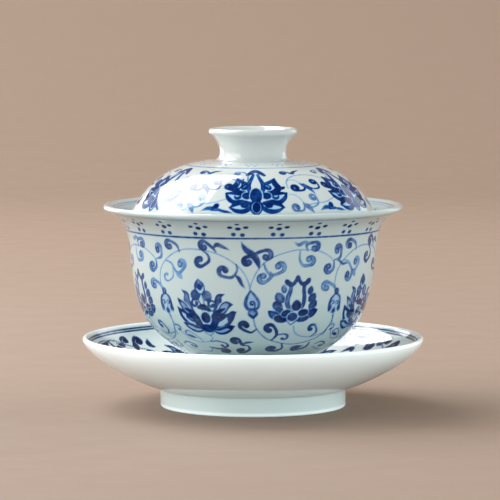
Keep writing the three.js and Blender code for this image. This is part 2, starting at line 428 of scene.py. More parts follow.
def paint_open_blossom(brush, axis):
    """The full lotus, seen from the side: a finial, paired side petals and a dark heart."""
    brush.at(axis)
    # pale ground of the upper petals
    brush.leaf([(-0.6, 26), (-0.9, 29.5), (-0.4, 33), (0.4, 37), (0.5, 40.5)], 11, WHITE, WHITE, 0.3, 0.5)
    # upper side petals, rising from the heart and leaning out at their tips
    petal(
        brush, [(-4, 36.4), (-7.2, 33.6), (-8.8, 30.8), (-8.6, 28.8), (-11.2, 27.2)],
        2.5, 0.76, 0.56, 0.2, 0.45, 0.4,
    )
    petal(
        brush, [(4.2, 36), (6.8, 33.2), (7.8, 31), (8.2, 29.4), (11.2, 28.4)],
        2.5, 0.78, 0.58, 0.15, 0.45, 0.4,
    )
    petal(brush, [(-5.2, 36.8), (-9, 34.8), (-11.4, 32.5), (-14.3, 30.1)], 2.8, 0.78, 0.52, 0.2, 0.5, 0.5)
    petal(brush, [(5.6, 36), (8.8, 34.4), (11.6, 32), (14.9, 31.8)], 3, 0.8, 0.44, 0.3, 0.5, 0.55)
    # round upper petals and the finial between them
    for x, s, wide, lean in ((-3.7, 28.9, 1.8, 14), (2.3, 29.1, 1.7, -16)):
        brush.spot((x, s), wide + 0.15, 2.1, 0.1, 0.1, 0.3, lean)
        brush.spot((x, s), wide, 1.9, 0.68, 0.55, 0.2, lean)
    brush.stroke(
        [(-1.7, 23.3), (-1.5, 24.8), (-1.2, 26.2), (-0.7, 27.5), (-0.4, 28.8)],
        [0.1, 2.4, 3.9, 2.6, 0.1], 0.78, 0.5, 0.7,
    )
    brush.stroke(
        [(-3, 26.6), (-1.8, 27.4), (-0.8, 27.8), (0.1, 27.3), (0.9, 26.2)],
        [0.3, 0.7, 0.9, 0.7, 0.3], 0.14, 0.14, 0.6,
    )
    brush.spot((-1.2, 26.1), 0.8, 1.05, 0.93, 0.96, 0.7, -12)
    brush.stroke([(-0.2, 29.2), (0.4, 31), (0.4, 32.8)], [0.4, 0.5, 0.4], 0.66, hue=0.3)
    # inner scrolls
    brush.curl((-4.3, 31.7), [(-1, 34), (-1.5, 31.6), (-2.8, 30.4)], 1, 1.35, 0.76, 0.66, 0.2, 1, 290)
    brush.curl((4.3, 31.9), [(2.2, 34.4), (6, 33.8), (6.9, 31.8)], 1, 1.3, 0.76, 0.66, 0.2, 1, 290)
    # dark side petals with a pale middle, and the heavy inner fold of each
    petal(brush, [(-2.6, 39.4), (-7.6, 38.6), (-11.6, 36.4), (-15.2, 33.2)], 4.4, 0.9, 0.14, 0.6, 0.42, 1.3)
    petal(brush, [(3, 39.6), (8, 38.8), (12, 36.8), (16.2, 34.6)], 4.5, 0.94, 0.14, 0.5, 0.42, 1.4)
    brush.stroke(
        [(-10.4, 33.6), (-8, 34.4), (-5.6, 36.2), (-4.4, 38.2), (-3.4, 39.8)],
        [0.5, 1.4, 2.4, 2.7, 2.2], 1, 0.9, 0.75,
    )
    brush.stroke(
        [(10.6, 33.2), (7.6, 34.2), (5.4, 36), (4.8, 38), (3.6, 39.8)],
        [0.5, 1.4, 2.4, 2.7, 2.2], 1.02, 0.92, 0.7,
    )
    brush.curl((-9, 36.4), [(-5.6, 37.8), (-7.2, 38.2)], -1, 0.85, 1, 0.94, 0.4, 1, 240)
    brush.curl((9.2, 36), [(5.8, 37.8), (7.6, 37.7)], 1, 0.85, 1, 0.94, 0.4, 1, 240)
    brush.leaf([(16.6, 34.4), (14.4, 34.9), (12.8, 36.6), (12.2, 38.4)], 1.6, 1, 0.9, 0.4)
    # lower petals
    petal(brush, [(-1.6, 41.2), (-6.2, 41.5), (-10, 40.4), (-14, 39)], 3.1, 0.9, 0.3, 0.5, 0.5, 0.95)
    petal(brush, [(2.4, 41.2), (7, 41.9), (11, 40.9), (15.2, 39.6)], 3.2, 0.98, 0.36, 0.5, 0.5, 1.05)
    brush.leaf([(15.4, 39.6), (12.8, 39.9), (10, 40.2)], 1.3, 1, 0.94, 0.4)
    # bar, seed oval and the cup below it
    brush.stroke([(-3, 33.2), (-0.2, 32.9), (2.9, 33.8)], [0.9, 2.1, 1], 1, 0.94, 0.35)
    brush.spot((0.4, 36.7), 2.1, 2.5, 0.2, 0.2, 0.5)
    brush.spot((0.4, 36.7), 1.55, 1.95, 1.05, 1.08, 0.4)
    brush.stroke(
        [(-3.2, 39.7), (-1.2, 40.3), (0.5, 40.7), (2.4, 40.5), (4.4, 39.9)],
        [1.3, 2.5, 3.1, 2.5, 1.3], 1, 0.88, 0.9,
    )
    brush.spot((0.6, 41.7), 1.5, 0.8, 0.95, 0.88, 0.95)
    brush.stroke([(-2.8, 41.6), (-1.4, 42.9), (0.5, 43.7), (2.3, 42.9), (3.5, 41.4)], 0.42, 0.66, hue=0.4)


def paint_crown_blossom(brush, axis):
    """The half-open lotus: a toothed crown over a white vase, with beaded sides."""
    brush.at(axis)
    # white vase inside its two thick walls
    brush.leaf([(-0.8, 23), (-0.8, 27), (-0.8, 30.5), (-0.8, 34.6)], 8.4, WHITE, WHITE, 0.4, 0.6)
    brush.stroke(
        [(-4, 24.8), (-4, 27), (-5.1, 29.6), (-5.2, 31.6), (-3.6, 33.6), (-2.2, 34.6)],
        [1.3, 1.4, 1.7, 1.7, 1.4, 0.9], 0.8, 0.56, 0.35,
    )
    brush.stroke(
        [(3.1, 24.8), (3, 27), (3.5, 29.8), (3.1, 32.2), (1.6, 34.2)],
        [1.3, 1.3, 1.4, 1.4, 0.9], 0.84, 0.62, 0.3,
    )
    # crown: a zigzag band whose points stand up
    brush.stroke(
        [(-5.6, 23.9), (-4.2, 25.1), (-2.7, 25), (-0.6, 23.3), (1.6, 24.9), (3.3, 25), (5, 23.9)],
        [1, 1.5, 1.3, 1.3, 1.3, 1.5, 1.1], 0.8, 0.7, 0.25,
    )
    for x, down in ((-6.3, 23.3), (-0.6, 22.1), (5.8, 23.1)):
        brush.leaf([(0.55 * x, down + 2.2), (0.85 * x - 0.1, down + 1), (x, down)], 1.8, 0.8, 0.7, 0.25)
    # side petals, in tiers that overlap downwards
    tiers = (
        (-6.4, 27.9, -7.3, 25, 1.8, 0.72), (-7, 31, -10.4, 27.7, 3, 0.7),
        (-7.4, 33.4, -11.8, 31, 2.9, 0.76), (-6.8, 34.4, -10.4, 33, 2.2, 0.9),
        (5.6, 28.6, 6.6, 25.7, 1.9, 0.82), (5.8, 31, 8.8, 28.3, 2.6, 0.78),
        (6.2, 33.4, 10, 30.9, 2.6, 0.82), (6.4, 34.4, 9.6, 32.9, 2, 0.92),
    )
    for x0, s0, x1, s1, wide, tone in tiers:
        root, tip = (x0, s0), (x1, s1)
        belly = (0.45 * x0 + 0.55 * x1, 0.6 * s0 + 0.4 * s1)
        brush.leaf([root, belly, tip], wide + 0.35, 0.2, 0.2, 0.5, 0.5)
        brush.leaf([root, belly, tip], wide, tone + 0.08, tone - 0.14, 0.25, 0.5)
    petal(brush, [(-7.6, 35.8), (-9.8, 35.9), (-12, 35.2), (-14.4, 33.8)], 3, 0.9, 0.62, 0.85, 0.5, 0.75)
    petal(brush, [(4.8, 35.6), (7.2, 35.6), (9, 34.9), (11.6, 34)], 3.2, 0.96, 0.86, 0.8, 0.5, 0.6)
    # the ring of heavy petals at the foot
    for x, down, wide, high, lean in (
        (-7.9, 36.9, 2.4, 1.45, 12), (-5.4, 34.9, 1.7, 1.3, -20), (3.9, 37.1, 2.3, 1.2, -12),
        (3.6, 34.9, 1.9, 1.35, -10),
    ):
        brush.spot((x, down), wide + 0.2, high + 0.2, 0.16, 0.16, 0.5, lean)
        brush.spot((x, down), wide - 0.1, high - 0.1, 1, 0.95, 0.55, lean)
    # dome, boss and the pale calyx under them
    brush.stroke([(-0.5, 30.4), (-0.5, 31.4), (-0.4, 32.5)], [0.5, 2.7, 3.9], 0.16, 0.14)
    brush.stroke([(-0.5, 30.6), (-0.5, 31.5), (-0.4, 32.4)], [0.2, 2.2, 3.3], 1, 0.92, 0.3)
    brush.stroke([(-4, 36.4), (-1.9, 36.4), (0.1, 36.3)], [1.2, 3.8, 1.6], 0.18, 0.16)
    brush.stroke([(-3.6, 36.4), (-1.9, 36.3), (-0.2, 36.3)], [0.9, 3.1, 1.1], 0.96, 0.97, 0.95)
    brush.stroke([(-4.8, 37.6), (-3.2, 38.6), (-2, 39.2), (-0.6, 38.6), (0.9, 37.6)], 0.46, 0.72, hue=0.5)


def paint_vines(brush):
    brush.at(0)
    brush.vine(
        [(-48.5, 26), (-48.5, 24), (-47.5, 21), (-45, 18.5), (-40, 15.8), (-35, 14.2), (-30, 13.6),
         (-25, 13.7), (-20, 14.2), (-15, 15.3), (-10, 17.2), (-6, 19.5), (-3.5, 22), (-1.8, 25),
         (-1.5, 27)]
    )
    brush.vine(
        [(-1.5, 26.5), (-0.5, 24), (2, 20.5), (5, 18), (10, 15.8), (15, 14.6), (20, 13.9),
         (25, 14), (30, 14.3), (35, 15.7), (38, 17), (39.7, 18.3)]
    )
    brush.vine(
        [(0, 35.5), (0.3, 37.5), (1.5, 40.3), (4, 42.8), (7, 44.8), (10.5, 46), (18, 47.7),
         (24, 48.2), (30, 47.8), (35, 46.8), (40, 45), (42.5, 42.5), (44, 40), (44.2, 37),
         (43.5, 35.3)], 0.5, 0.6
    )
    brush.vine([(21.3, 39.7), (22, 41.5), (24.5, 43.3), (28, 44.3), (32, 44.7), (36, 44.5), (41.5, 43.5)])
    brush.vine([(-24, 43.8), (-23.5, 45), (-25, 46.3), (-28, 47.2), (-33, 47.3), (-38, 46.5)])
    brush.vine([(-38, 46.5), (-42, 43.6), (-44.6, 40), (-46.6, 36.5)])


def paint_curls(brush, first):
    """The comma scrolls along the vines, from the upper row to the bottom one."""
    brush.at(0)
    curl, leaf = brush.curl, brush.leaf
    # over and under the vine of the full lotus
    curl((-41, 12.6), [(-35.2, 14.8), (-36.4, 12.6)], 1, 1.55, 0.66, 0.58, 0.1)
    curl((-22.6, 12.3), [(-16.6, 14.4), (-18.2, 13)], 1, 1.5, 0.7, 0.62, 0.12)
    leaf([(-18.5, 13.6), (-16.4, 12), (-13.8, 12.6), (-10.4, 13.8)], 1.5, 0.7, 0.64, 0.12, 0.4)
    curl((-25, 17.6), [(-23.6, 13.9), (-21, 15.3), (-20.4, 17.2)], -1, 1.7, 0.68, 0.6, 0.12)
    curl(
        (-34.4, 18.8), [(-43.6, 17.9), (-40.4, 18.6), (-37.6, 21.4), (-35.6, 21.6)],
        1, 1.45, 0.6, 0.42, 0.7,
    )
    leaf([(-38, 21.4), (-36.2, 22.4), (-34.6, 23.8)], 1.9, 0.55, 0.4, 0.7, 0.55)
    curl((-13.6, 20.6), [(-7.4, 18.4), (-7.2, 20.4), (-9.6, 22.6)], -1, 1.75, 0.68, 0.6, 0.12)
    leaf([(-8.4, 21.8), (-6.6, 22.8), (-5.2, 24.8), (-3.6, 26.2)], 1.3, 0.7, 0.62, 0.15, 0.4)
    # at the meeting of the two vines
    leaf([(-5.4, 10.6), (-3.6, 13.2), (-0.4, 15), (1.8, 17.2), (2.8, 20)], 2.3, 0.82, 0.7, 0.2, 0.6)
    brush.vine([(-5, 11.4), (-2.2, 12.8), (0.2, 14.4)], 0.3, 0.45)
    curl((-2.7, 17.3), [(1.6, 17.4), (0, 15.9)], 1, 1.45, 0.84, 0.7, 0.2)
    curl((6.2, 15.3), [(2.2, 17.2), (1.4, 14.9)], -1, 1.7, 0.8, 0.62, 0.25)
    curl((12.4, 19.2), [(5, 17.9), (5.6, 19.6), (8.4, 21.8)], 1, 1.7, 0.68, 0.46, 0.5)
    curl((4.4, 22.8), [(8.2, 20.8), (8.4, 22.2)], -1, 1.55, 0.7, 0.46, 0.5)
    # over and under the vine of the crowned lotus
    curl((29, 12.9), [(25.2, 14.2), (24.6, 12.2)], -1, 1.5, 0.64, 0.5, 0.5)
    leaf([(18.4, 11), (20.6, 12), (23.4, 11.2), (26.2, 11.4)], 1.3, 0.6, 0.5, 0.45, 0.5)
    curl((26.8, 17.3), [(21.6, 14.1), (21.4, 16.6), (23.2, 18.8)], 1, 1.5, 0.66, 0.42, 0.6)
    curl((36.6, 20.3), [(39.7, 17.8), (39.6, 20.4)], -1, 1.5, 0.7, 0.5, 0.4)
    curl((41.9, 14.2), [(40.4, 17.6), (43.4, 16.9)], 1, 1.45, 0.64, 0.48, 0.4)
    curl((36.2, 26.2), [(42.6, 29), (41.6, 26.6)], 1, 1.5, 0.6, 0.4, 0.6)
    curl((-4.6, 39.2), [(1.8, 40.7), (-0.8, 42), (-3.2, 41.6)], -1, 1.5, 0.9, 0.84, 0.1)
    curl((8.4, 40.6), [(10.4, 45.8), (12.6, 44), (12.4, 41.8)], 1, 1.6, 0.93, 0.84, 0.15)
    curl((17.4, 44.6), [(11, 46), (12.6, 43.6)], -1, 1.55, 0.82, 0.7, 0.25, 0.95)
    curl((32.2, 40.8), [(34, 44.6), (36.4, 42.8)], 1, 1.5, 0.84, 0.6, 0.6, 1.25)
    curl((46.4, 41.4), [(42.8, 44.6), (43.8, 41)], -1, 1.5, 0.6, 0.5, 0.3, 0.75)
    if first:
        curl((-43.6, 23.2), [(-39.6, 20.4), (-39.9, 23.2)], -1, 1.6, 0.54, 0.44, 0.6, 0.8)
    else:
        leaf([(-50, 17.5), (-47, 18), (-44.6, 19.2), (-42, 19), (-40.2, 19.4)], 0.9, 0.64, 0.5, 0.4)
        curl((-40.2, 23.3), [(-40.2, 19.4), (-37.8, 21.4)], -1, 1.5, 0.66, 0.5, 0.4)
    # bottom row
    curl((-38, 43.6), [(-30.6, 47), (-32.4, 44.8)], 1, 1.5, 0.6, 0.5, 0.3, 0.75)
    leaf([(-39.6, 44.2), (-37, 44.6), (-33.6, 45.4)], 1.3, 0.8, 0.7, 0.2, 0.6)
    curl((-18, 48.6), [(-25.6, 46.8), (-21.6, 46.4)], -1, 1.5, 0.86, 0.7, 0.25, 0.9)
    curl((-10.2, 46.2), [(-3.6, 48.6), (-6.6, 48)], 1, 1.5, 0.92, 0.84, 0.1)
    leaf([(-6.6, 47.8), (-3.6, 46.9), (0.6, 46.6)], 1.1, 0.9, 0.85, 0.1)
    curl((-19, 52.2), [(-28.4, 50.2), (-23.4, 51)], -1, 1.35, 0.92, 0.84, 0.1)
    curl((-7.6, 51.8), [(-3, 48.6), (-2.2, 50.8)], -1, 1.4, 0.93, 0.85, 0.1)
    curl((11.6, 50.6), [(17.2, 47.8), (18.6, 50.6), (15.2, 52)], -1, 1.4, 0.92, 0.85, 0.15)
    curl((29, 50.8), [(36.4, 47.8), (36, 50.6)], -1, 1.4, 0.9, 0.84, 0.15)
    leaf([(24, 50.2), (28, 49.6), (34, 49.8)], 1, 0.8, 0.7, 0.2)
    brush.vine([(-48, 50.6), (-40, 52.6), (-30, 52.8), (-27, 50.4)], 0.4, 0.6)
    curl((-41, 49.8), [(-48, 49), (-44.4, 47.8)], -1, 1.3, 0.84, 0.7, 0.2, 1)


def paint_bowl(body):
    brush = Brush(body, ("outside",), True, 11)
    brush.ring(1.4, 0.5, 0.44, 0.2)
    brush.ring(9.7, 0.55, 0.86, 0.45)
    paint_dots(brush, 21)
    brush.wobble = 0.06
    for quarter in range(4):
        brush.turn = 90 * quarter
        paint_vines(brush)
        paint_curls(brush, quarter == 0)
        paint_side_bud(brush, 43.3)
        paint_bud(brush)
        paint_open_blossom(brush, -24.5)
        paint_crown_blossom(brush, 21.6)
    inside = Brush(body, ("inside",), False, 12)
    inside.ring(1.9, 0.45, 0.55, 0.5)
    inside.ring(3, 0.3, 0.4, 0.5)
    for k in range(24):
        inside.at(15 * k)
        inside.curl((3, 6.4), [(-4.5, 7.4), (-0.5, 8.4)], 1, 0.95, 0.55, 0.45, 0.5, 0.6, 300)
        inside.vine([(-7, 6.6), (-4.5, 7.4), (-1.5, 6.2), (2, 4.8), (8, 6.6)], 0.3, 0.35)
    inside.ring(10, 0.3, 0.4, 0.5)


# ---------- the lid's painting ----------


def paint_lid_lotus(brush, axis, depth):
    """A lotus with a mushroom cap on a white vase, and paired petals round a dark heart."""
    blue = 0.85
    for side in (False, True):
        brush.at(axis, side, depth)
        # upper petal: a pale field between two heavy edges, with its scroll
        brush.leaf([(3.6, 24), (7, 22.8), (9.4, 20.8), (11.4, 17.8)], 6, 0.16, 0.12, 0.9, 0.5)
        brush.stroke(
            [(3.6, 21.4), (5.4, 20.2), (8, 19.4), (11.7, 17.4)],
            [1.2, 1.4, 1.5, 0.4], 0.96, 0.8, blue,
        )
        brush.stroke(
            [(11.7, 17.5), (11.3, 20), (12.5, 22.4), (9.4, 24), (6.4, 24.2)],
            [0.5, 1.9, 2.3, 1.8, 1.2], 0.98, 0.84, blue,
        )
        brush.curl((6.6, 22), [(3.8, 21), (5.4, 20.4)], -1, 0.95, 0.88, 0.84, 0.7, 0.95, 250)
        brush.leaf([(16.6, 21.6), (14.8, 22.2), (12.4, 23)], 1.3, 0.96, 0.9, 0.4)
        # side petal, with a hook
        brush.leaf([(15.6, 24.9), (12, 26.3), (8.6, 26.9), (5, 26.4)], 3.6, 0.22, 0.16, 0.9)
        brush.stroke(
            [(16.4, 24.5), (14.6, 26.6), (11.6, 28), (7.4, 27.5)], [0.5, 1.4, 1.5, 1], 0.98, 0.84, blue
        )
        brush.stroke(
            [(16.4, 24.5), (12.4, 24.5), (8.6, 24.6), (6, 25.2)],
            [0.6, 1.4, 1.8, 1.8], 1, 0.9, 0.7,
        )
        brush.stroke(
            [(7.6, 25.2), (9.2, 26.3), (11, 26.3), (11.6, 25.5)],
            [0.8, 1.1, 0.9, 0.4], 0.96, 0.9, 0.6,
        )
        # lower petal, with a heavy scroll
        brush.leaf([(12.6, 30.2), (9.6, 30.1), (6.8, 29.7), (3.2, 29)], 3.6, 0.22, 0.16, 0.9)
        brush.stroke(
            [(13.4, 30.1), (9.8, 31.4), (6.2, 31.5), (3.4, 30.5), (1.6, 28.8)],
            [0.4, 1.4, 1.7, 1.5, 1.1], 1, 0.84, blue,
        )
        brush.stroke(
            [(13.4, 30.1), (10.6, 28.7), (7.2, 28.1), (3.8, 28.4)],
            [0.5, 1.7, 1.8, 1.5], 1, 0.9, 0.6,
        )
        brush.spot((6, 29.3), 1.3, 0.95, 1, 0.95, 0.5)
        # oval beside the heart
        brush.spot((5, 25.5), 1.95, 1.75, 0.2, 0.2)
        brush.spot((5.1, 25.5), 1.6, 1.4, 0.98, 0.88, 0.95)
    brush.at(axis, False, depth)
    # cap
    brush.stroke(
        [(-5.4, 15.2), (-3.4, 13.9), (0, 12.4), (3.6, 13.9), (5.8, 15.4)],
        [1.2, 1.7, 2.2, 1.7, 1.2], 0.88, 0.76, 0.5
    )
    # white vase
    brush.leaf([(-0.2, 14), (-0.2, 18), (-0.2, 21.6), (-0.2, 25.2)], 5, 0.04, 0.02, 0.5, 0.7)
    wall = [(1.5, 15), (2.6, 17.4), (4.1, 20.2), (3.9, 22.8), (2.6, 24.8)]
    for side in (-1, 1):
        brush.stroke([(x * side - 0.2, s) for x, s in wall], [1, 1.2, 1.5, 1.5, 1.1], 0.94, 0.68, blue)
    # heart and drop
    middle = -0.2
    brush.stroke(
        [(middle, 22.2), (middle, 24), (middle, 26.2), (middle, 27.8)],
        [0.8, 3.9, 4.5, 3], 0.18, 0.18,
    )
    brush.stroke(
        [(middle, 22.4), (middle, 24.1), (middle, 26.1), (middle, 27.3)],
        [0.4, 3.2, 3.8, 2.4], 1, 0.92, 0.85,
    )
    for wide, low, tone, core in ((4.7, 33, 0.96, 0.86), (3.3, 32.2, 0.22, 0.22), (2.6, 31.7, 0.92, 0.98)):
        start = 27.7 + 0.14 * (4.7 - wide)
        drop = [(middle, start), (middle, 29.5), (middle, 30.9), (middle, low)]
        brush.leaf(drop, wide, tone, core, blue, 0.42)


def paint_lid_scroll(brush, axis, depth):
    """The vines and comma scrolls between two lotuses, measured from the left lotus."""
    brush.at(axis, False, depth)
    curl, leaf = brush.curl, brush.leaf
    brush.vine([(18, 22.4), (18.4, 19.5), (21, 17.4), (26, 16), (33, 15.6), (41, 16.3), (47, 18.2)])
    brush.vine([(47, 18.2), (49.4, 20), (49.6, 22.4)])
    curl((20, 14), [(27, 14.8), (23.6, 13.6)], 1, 1.05, 0.82, 0.7, 0.7, 1.1, 260)
    leaf([(23, 13.9), (26, 14.4), (29, 13.3), (34.5, 12.3)], 1.2, 0.84, 0.76, 0.7)
    leaf([(26, 14.2), (27.6, 15.2)], 1, 0.8, 0.75, 0.7)
    brush.vine([(19.5, 18.6), (23, 18.2), (26.6, 19.6), (28, 21.6)], 0.36, 0.45, 0.5)
    curl((22.6, 22.2), [(29.2, 20.6), (27.6, 23.2)], -1, 1.35, 0.94, 0.84, 0.6, 1.35, 300)
    leaf([(26, 20.2), (29, 21.4), (31.6, 23), (33.4, 25.4)], 1.8, 0.86, 0.66, 0.9)
    curl((36.6, 19.8), [(31, 21.8), (34.6, 23), (38.4, 22.4)], 1, 1.25, 0.96, 0.84, 0.5, 1.2, 300)
    curl((44.2, 21.4), [(52, 17.6), (51.2, 21.6), (48, 23.2)], -1, 1.2, 0.98, 0.9, 0.4, 1.2, 290)
    curl((47.2, 14.2), [(54.6, 18.6), (54.4, 15.6), (51.4, 13.4)], 1, 1.05, 0.62, 0.5, 0.2, 1, 260)
    brush.vine([(17.6, 25), (21, 25.6), (23.4, 27.6), (23.8, 29.6)], 0.36, 0.5, 0.5)
    curl((19.6, 30.2), [(24.4, 28.4), (23.4, 31.2)], -1, 1.3, 0.58, 0.5, 0.1, 1.3, 290)
    leaf([(23.4, 29), (26, 30), (28.6, 32.6)], 1.9, 0.58, 0.5, 0.1, 0.5)
    curl((30.6, 26.6), [(25.4, 29.8), (29, 30.2), (32.6, 28.8)], 1, 1.3, 0.56, 0.42, 0.3, 1.2, 300)
    brush.vine([(26, 29.6), (30, 29), (37, 28.6), (44.5, 27)], 0.36, 0.5, 0.5)
    leaf([(32.5, 31.6), (36, 30.6), (40, 30.9), (44, 31.2)], 1.6, 0.84, 0.66, 1, 0.5)
    curl((40, 29.6), [(38.4, 31.2), (38.4, 30.2)], -1, 0.7, 0.92, 0.84, 0.9, 0.9, 260)
    leaf([(41, 31.4), (44.5, 31.6), (48.5, 32.2)], 1, 0.86, 0.7, 1)


def paint_lid(body):
    brush = Brush(body, ("outside",), True, 21)
    brush.ring(0.7, 0.5, 0.5, 0.1)
    brush.ring(9.8, 0.7, 0.46, 0.25)
    for k in range(13):
        brush.at(-1.5 + 360 * k / 13)
        for x, s in ((-5.6, 5.8), (0, 5.9), (5.6, 5.8), (-3, 7.4), (3, 7.4)):
            brush.spot((x, s), 0.42, 0.38, 0.5, hue=0)
    brush.wobble = 0.05
    for k in range(6):
        brush.turn = 60 * k
        paint_lid_scroll(brush, 1.9, 0.98)
        paint_lid_lotus(brush, 1.9, 1)


# ---------- the saucer's painting ----------


def paint_dish(body):
    """A scroll inside the dish, under a doubled rim line."""
    brush = Brush(body, ("inside",), False, 31)
    brush.ring(0.5, 0.5, 0.86, 0.4)
    brush.ring(1.4, 0.42, 0.84, 0.4)
    brush.wobble = 0.06
    for k in range(6):
        brush.turn = 60 * k
        paint_dish_scroll(brush, 32)
        paint_dish_lotus(brush, 32)
    brush.turn = 0
    brush.ring(25.5, 0.4, 0.6, 0.4)


def paint_dish_scroll(brush, axis):
    """The vines, scrolls and leaves on both sides of one of the dish's lotuses."""
    brush.at(axis)
    curl, leaf = brush.curl, brush.leaf
    brush.vine([(-31.5, 6), (-28, 4.2), (-22, 3.4), (-14, 3.3), (-8, 4.6), (-3, 7.6)], 0.42, 0.66)
    brush.vine([(-3, 21), (-10, 20.6), (-16, 17.6), (-24, 15), (-30, 16.6)], 0.42, 0.66)
    brush.vine([(3, 21), (10, 19.6), (14, 15.6), (16.6, 11.6), (22, 9.2), (28.5, 6)], 0.42, 0.66)
    curl((-26.4, 8.4), [(-23.4, 3.6), (-23.8, 6.6)], -1, 1.6, 0.92, 0.7, 0.45, 2.1)
    leaf([(-22.6, 4.2), (-19, 4.8), (-14.6, 4)], 1.8, 0.9, 0.72, 0.6)
    leaf([(-18.8, 4.2), (-19, 6.4), (-18, 8.8)], 2.8, 0.88, 0.62, 0.7, 0.55)
    leaf([(-20.4, 13), (-17.8, 10.6), (-14.6, 13.8)], 2.3, 0.92, 0.76, 0.4)
    curl((-9, 6.8), [(-12.2, 3.8), (-12, 6.8)], 1, 1.5, 0.9, 0.66, 0.6, 1.9)
    curl((-10.6, 17.2), [(-15.2, 18), (-13.4, 16)], -1, 1.7, 0.94, 0.78, 0.4, 2)
    curl((-24, 18.6), [(-19.6, 16.4), (-20.8, 19)], -1, 1.6, 0.92, 0.7, 0.5, 1.9)
    leaf([(-29, 12.4), (-26.4, 12.8), (-22.6, 14.6)], 2, 0.88, 0.7, 0.6)
    curl((18.6, 5.8), [(21.6, 9.4), (21.4, 6.2)], 1, 1.6, 0.92, 0.7, 0.45, 2)
    leaf([(20.6, 6.2), (22.2, 8), (24.4, 11)], 2.6, 0.9, 0.66, 0.6)
    curl((25.6, 4.6), [(28.4, 6.6), (27.8, 4.2)], 1, 1.3, 0.88, 0.66, 0.4, 1.6)
    leaf([(27, 5.2), (29.4, 6.6), (32.4, 5.2)], 2, 0.88, 0.62, 0.6)
    leaf([(12.4, 10), (14.4, 8.4), (13.2, 5.4)], 2.4, 0.9, 0.7, 0.6)
    curl((10.4, 15.4), [(14.2, 14.6), (13.4, 17.4)], -1, 1.5, 0.94, 0.8, 0.4, 1.9)
    curl((24, 14.2), [(17.2, 11.6), (19.6, 11.8), (21.4, 15)], 1, 1.6, 0.92, 0.7, 0.5, 1.9)
    leaf([(16, 15), (18.4, 18.6), (22.6, 19.6)], 2.6, 0.9, 0.66, 0.6)
    curl((29.4, 21), [(20, 20.6), (24, 19.2), (28, 18.4)], -1, 1.5, 0.92, 0.74, 0.4, 1.7)


def paint_dish_lotus(brush, axis):
    """A lotus with its foot towards the middle of the dish."""
    brush.at(axis)
    brush.leaf([(0, 7.6), (0, 11), (0, 16), (0, 21.6)], 10.5, WHITE, WHITE)
    for side in (False, True):
        brush.at(axis, side)
        petal(brush, [(1.2, 19.4), (4.4, 15), (4.8, 11.6), (7.4, 9.4)], 2.8, 0.86, 0.46, 0.6, 0.4, 0.6)
        petal(brush, [(1.2, 20), (6, 17.4), (8.6, 14.6), (11.8, 13)], 3.4, 0.92, 0.4, 0.65, 0.45, 0.8)
        petal(brush, [(0.8, 21), (5, 21.2), (8.6, 20), (12.2, 18.4)], 3.2, 0.94, 0.5, 0.6, 0.45, 0.8)
        brush.curl((3.2, 13.8), [(1.8, 18), (1.6, 15.4)], -1, 0.9, 0.84, 0.7, 0.5, 0.9, 260)
    brush.at(axis)
    petal(brush, [(0, 14.6), (-0.6, 12), (0.6, 9.8), (0, 7.4)], 3.4, 0.84, 0.4, 0.7, 0.5, 0.7)
    brush.spot((0, 17.4), 2.1, 2.4, 0.18, 0.18)
    brush.spot((0, 17.4), 1.6, 1.9, 0.98, 0.98, 0.5)
    brush.leaf([(0, 19.6), (0, 21.6), (0, 23.6)], 3.4, 0.94, 0.9, 0.7)


# ---------- finishes ----------

NODES_DOWN = 8                  # shader nodes in one column of the tree
NODE_SPACING = (260, -220)


def node(tree, kind, **inputs):
    """Adds a shader node in the tree's next free place, and sets its sockets by name."""
    column, row = divmod(len(tree.nodes), NODES_DOWN)
    made = tree.nodes.new(kind)
    made.location = (column * NODE_SPACING[0], row * NODE_SPACING[1])
    for key, value in inputs.items():
        made.inputs[key.replace("_", " ")].default_value = value
    return made


def feed(tree, socket, value):
    """Links an output to a socket, or sets the socket to a number or a colour."""
    if hasattr(value, "is_output"):
        tree.links.new(value, socket)
    elif isinstance(value, (int, float)):
        socket.default_value = value
    else:
        socket.default_value = (*value, 1.0)


def attribute(tree, name):
    made = node(tree, "ShaderNodeAttribute")
    made.attribute_type = "GEOMETRY"
    made.attribute_name = name
    return made.outputs["Fac"]


def arithmetic(tree, kind, first, second, clamp=False):
    made = node(tree, "ShaderNodeMath")
    made.operation = kind
    made.use_clamp = clamp
    feed(tree, made.inputs[0], first)
    feed(tree, made.inputs[1], second)
    return made.outputs["Value"]


def ramp(tree, factor, stops):
    made = node(tree, "ShaderNodeValToRGB")
    elements = made.color_ramp.elements
    while len(elements) < len(stops):
        elements.new(0.5)
    for element, (position, tint) in zip(elements, stops):
        element.position = position
        element.color = (*tint, 1.0)
    feed(tree, made.inputs["Fac"], factor)
    return made.outputs["Color"]


def mix(tree, factor, first, second, blend="MIX"):
    made = node(tree, "ShaderNodeMix")
    made.data_type = "RGBA"
    made.blend_type = blend
    for socket, value in ((made.inputs[0], factor), (made.inputs[6], first), (made.inputs[7], second)):
        feed(tree, socket, value)
    return made.outputs[2]


def noise(tree, where, scale, detail, low=None, high=None):
    """A noise, carried from its usual range to the wanted one if that is given."""
    made = node(tree, "ShaderNodeTexNoise", Scale=scale, Detail=detail)
    feed(tree, made.inputs["Vector"], where)
    if low is None:
        return made.outputs["Fac"]
    carried = node(tree, "ShaderNodeMapRange", From_Min=0.3, From_Max=0.7, To_Min=low, To_Max=high)
    feed(tree, carried.inputs["Value"], made.outputs["Fac"])
    return carried.outputs["Result"]


def bump(tree, height, distance, strength, under=None):
    made = node(tree, "ShaderNodeBump", Distance=distance)
    feed(tree, made.inputs["Height"], height)
    feed(tree, made.inputs["Strength"], strength)
    if under is not None:
        feed(tree, made.inputs["Normal"], under)
    return made.outputs["Normal"]


